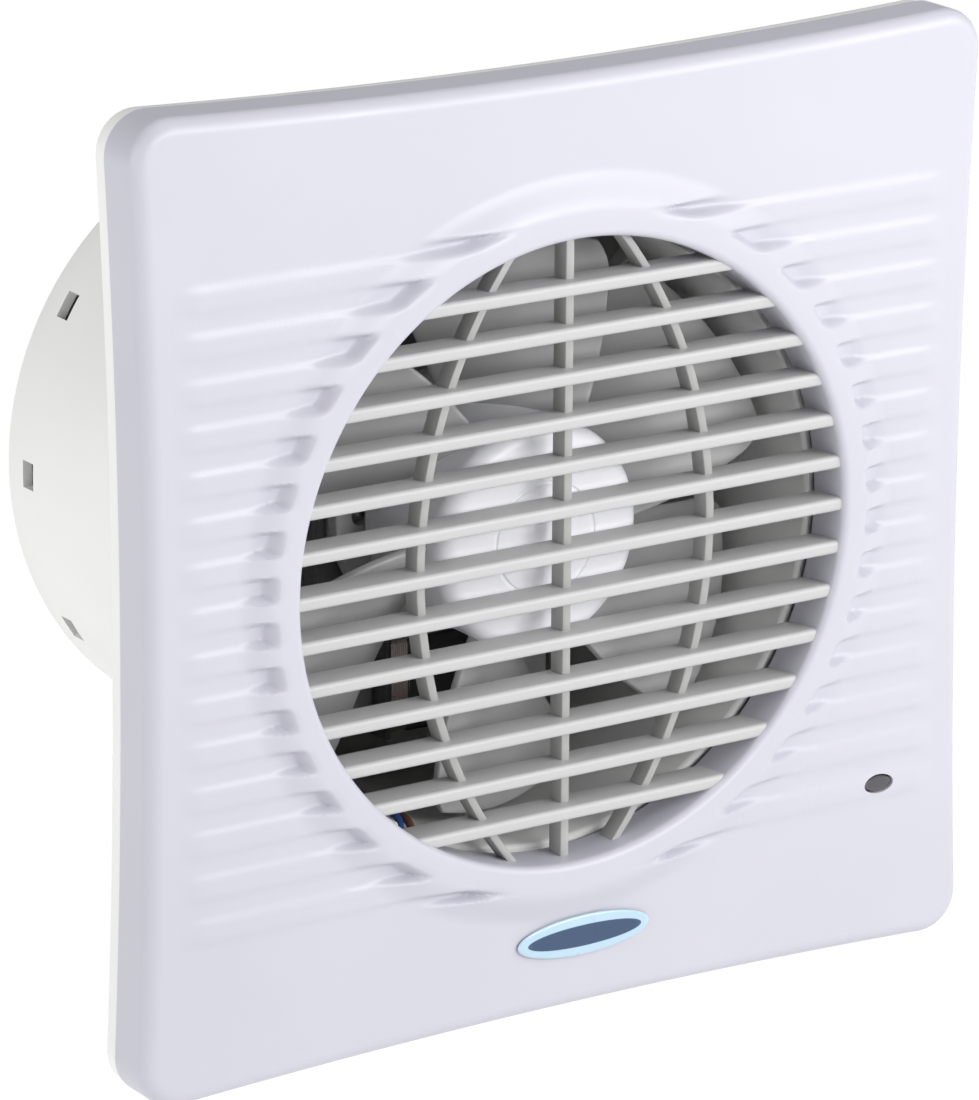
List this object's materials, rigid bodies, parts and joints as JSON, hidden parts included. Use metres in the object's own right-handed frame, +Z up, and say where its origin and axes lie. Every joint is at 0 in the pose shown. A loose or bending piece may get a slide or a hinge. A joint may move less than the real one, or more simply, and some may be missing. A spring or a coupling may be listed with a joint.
{
  "type": "bathroom extractor fan",
  "caption": "Square wall fan with a slatted round grille, a short duct spigot, an axial impeller on a small motor and a sprung back-draught shutter.",
  "frame": {"origin": "point on the duct's axis in the wall plane, which is the back face of the wall plate", "axes": "+Y along the air flow into the wall, -Y towards the room, +Z up, +X to the right seen from the room"},
  "size_m": [0.1492, 0.0873, 0.1492],
  "materials": {
    "white_casing": "moulded white ABS, fine satin grain",
    "white_cover": "moulded cool-white ABS, satin gloss",
    "grey_shutter": "thin moulded dark grey plastic, fine matt grain",
    "impeller_plastic": "moulded light grey-white polypropylene",
    "lamination_steel": "stacked varnished electrical steel",
    "zinc_steel": "bright zinc plate",
    "rotor_metal": "turned rotor with cast aluminium rings",
    "sintered_bronze": "oiled sintered bronze",
    "copper_winding": "enamelled copper wire under clear tape",
    "black_plastic": "black glass-filled nylon",
    "grey_rubber": "soft grey rubber",
    "board_laminate": "green solder mask over laminate",
    "capacitor_yellow": "yellow flame-retardant box",
    "trimmer_blue": "blue moulded trimmer case",
    "smoked_lens": "dark tinted clear plastic",
    "badge_blue": "plain pale-blue enamel, no lettering",
    "brown_insulation": "brown PVC insulation",
    "blue_insulation": "blue PVC insulation"
  },
  "bodies": {
    "casing": {"block_screw": "zinc_steel", "board_lead_blue": "blue_insulation", "board_lead_brown": "brown_insulation", "board_screw_1": "zinc_steel", "board_screw_2": "zinc_steel", "cable_clamp": "white_casing", "cable_grommet": "grey_rubber", "clamp_screw_1": "zinc_steel", "clamp_screw_2": "zinc_steel", "coil_bobbin": "black_plastic", "coil_winding": "copper_winding", "control_board": "board_laminate", "fan_casing": "white_casing", "film_capacitor": "capacitor_yellow", "flap_spring_left": "zinc_steel", "flap_spring_right": "zinc_steel", "front_bracket": "zinc_steel", "front_bush": "sintered_bronze", "motor_lead_blue": "blue_insulation", "motor_lead_brown": "brown_insulation", "motor_screw_left": "zinc_steel", "motor_screw_right": "zinc_steel", "rear_bracket": "zinc_steel", "rear_bush": "sintered_bronze", "shutter_frame": "grey_shutter", "shutter_pin": "zinc_steel", "stator_stack": "lamination_steel", "status_led": "smoked_lens", "terminal_block": "white_casing", "terminal_screw_1": "zinc_steel", "terminal_screw_2": "zinc_steel", "terminal_screw_3": "zinc_steel", "timer_chip": "black_plastic", "trimmer_base": "trimmer_blue"},
    "cover": {"front_cover": "white_cover", "led_window": "smoked_lens", "badge": "badge_blue"},
    "impeller_set": {"impeller": "impeller_plastic", "hub_clip": "zinc_steel", "motor_shaft": "zinc_steel", "rotor": "rotor_metal"},
    "left_flap": {"flap_left": "grey_shutter"},
    "right_flap": {"flap_right": "grey_shutter"},
    "timer_dial": {"trimmer_dial": "white_cover"}
  },
  "joints": [
    {"name": "impeller_spin", "type": "hinge", "parent": "casing", "child": "impeller_set", "pos_m": [0, 0, 0], "axis": [0, 1, 0], "continuous": true},
    {"name": "cover_pull", "type": "slide", "parent": "casing", "child": "cover", "axis": [0, -1, 0], "range_m": [0, 0.04]},
    {"name": "flap_left_swing", "type": "hinge", "parent": "casing", "child": "left_flap", "pos_m": [0, 0.065, 0], "axis": [0, 0, -1], "range_deg": [0, 80], "stiffness_Nm_per_rad": 0.001, "springref_deg": -17.19, "deforming": ["flap_spring_left"]},
    {"name": "flap_right_swing", "type": "hinge", "parent": "casing", "child": "right_flap", "pos_m": [0, 0.065, 0], "axis": [0, 0, 1], "range_deg": [0, 80], "stiffness_Nm_per_rad": 0.001, "springref_deg": -17.19, "deforming": ["flap_spring_right"]},
    {"name": "timer_turn", "type": "hinge", "parent": "casing", "child": "timer_dial", "pos_m": [0.054, -0.009, -0.0542], "axis": [0, -1, 0], "range_deg": [0, 270]}
  ]
}
